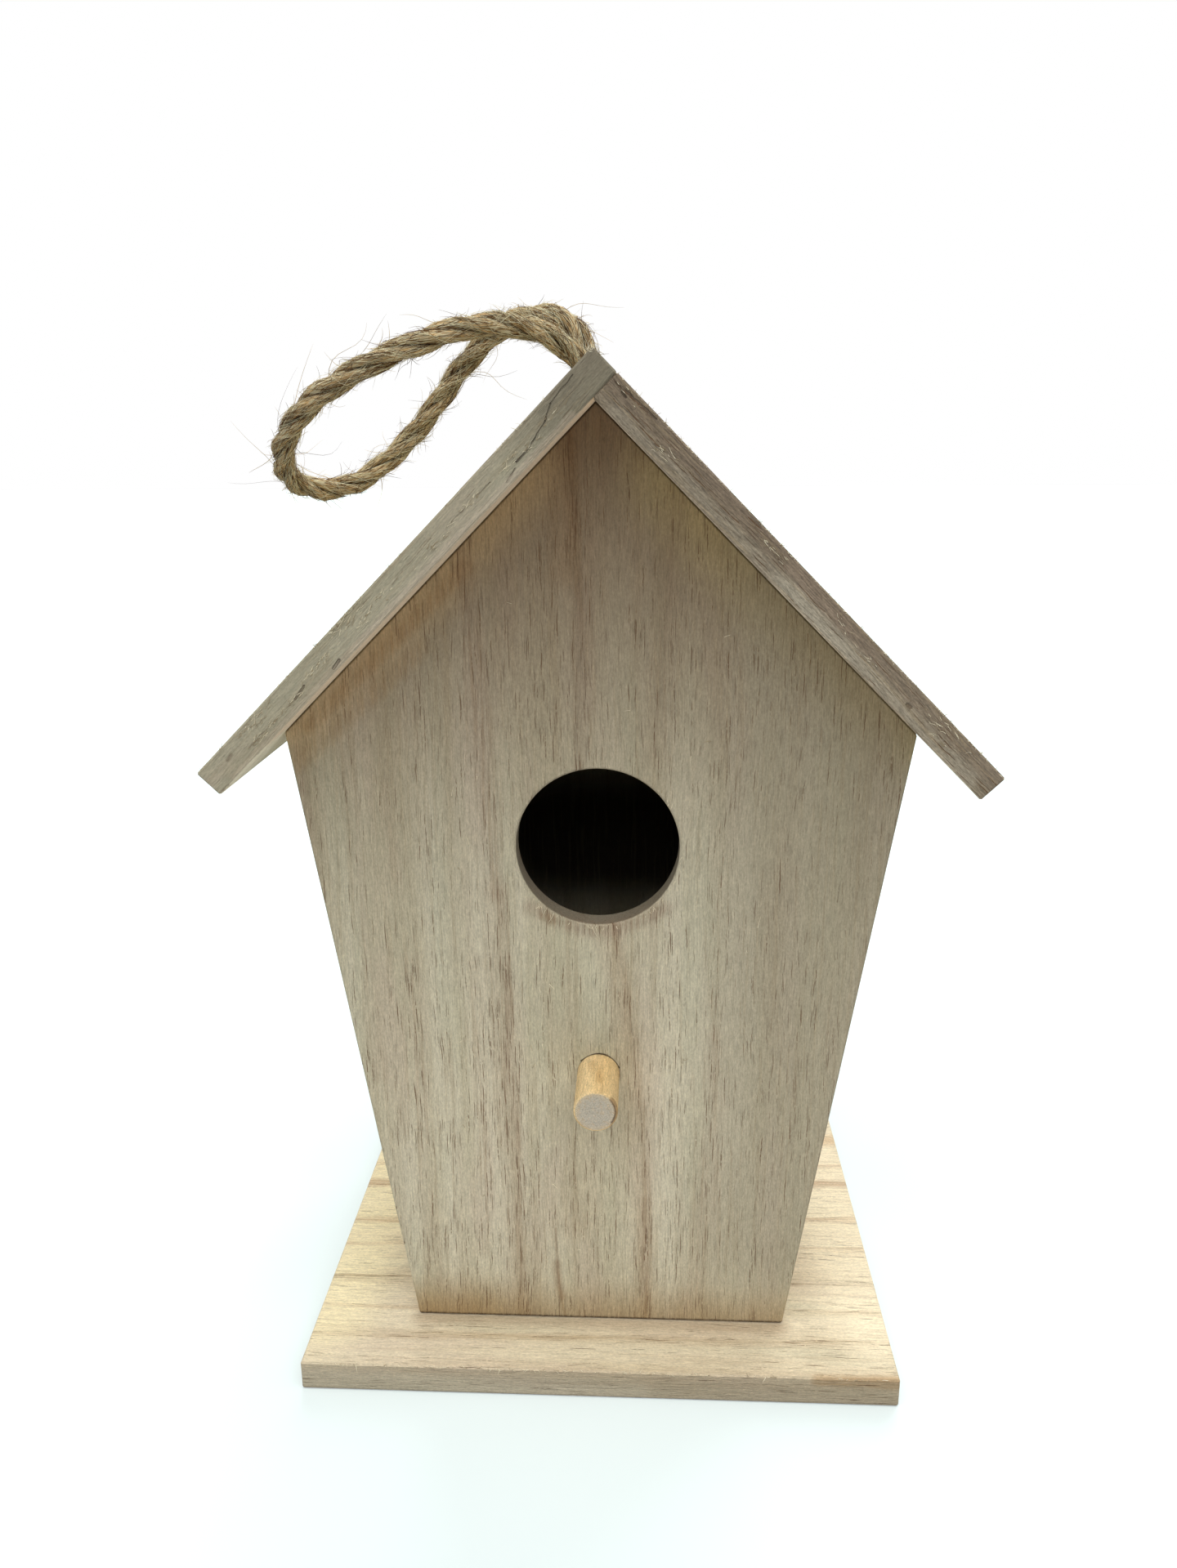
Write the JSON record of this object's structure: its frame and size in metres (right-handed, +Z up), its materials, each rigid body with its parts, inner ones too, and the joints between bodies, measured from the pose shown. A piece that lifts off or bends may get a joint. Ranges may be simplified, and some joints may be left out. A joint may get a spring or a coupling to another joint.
{
  "type": "birdhouse",
  "caption": "Small gabled birdhouse of unfinished pale wood, tapering to its base board, with a round entrance, a dowel perch and a flopped jute rope loop at the ridge.",
  "frame": {"origin": "centre of the base board's underside, on the surface that the house stands on", "axes": "+Z up, -Y out through the entrance hole, +X to the right of someone facing the entrance"},
  "size_m": [0.135, 0.108, 0.2038],
  "materials": {
    "base_wood": "unfinished sanded paulownia, pale cream with darker grain bands",
    "panel_wood": "unfinished sanded paulownia, grey tan with fine upright pores",
    "roof_wood": "unfinished sawn paulownia, grey with torn fibres along the edges",
    "dowel_wood": "unfinished golden hardwood dowel with a grey sawn end",
    "pin_steel": "dull bright steel",
    "jute": "twisted natural jute with loose fibres"
  },
  "bodies": {
    "root": {"base_board": "base_wood", "front_panel": "panel_wood", "back_panel": "panel_wood", "left_wall": "panel_wood", "right_wall": "panel_wood", "left_roof_board": "roof_wood", "right_roof_board": "roof_wood", "perch_dowel": "dowel_wood", "base_pins": "pin_steel", "left_roof_pins": "pin_steel", "right_roof_pins": "pin_steel", "ridge_pins": "pin_steel", "hanging_rope": "jute", "rope_knot": "jute"}
  },
  "joints": []
}
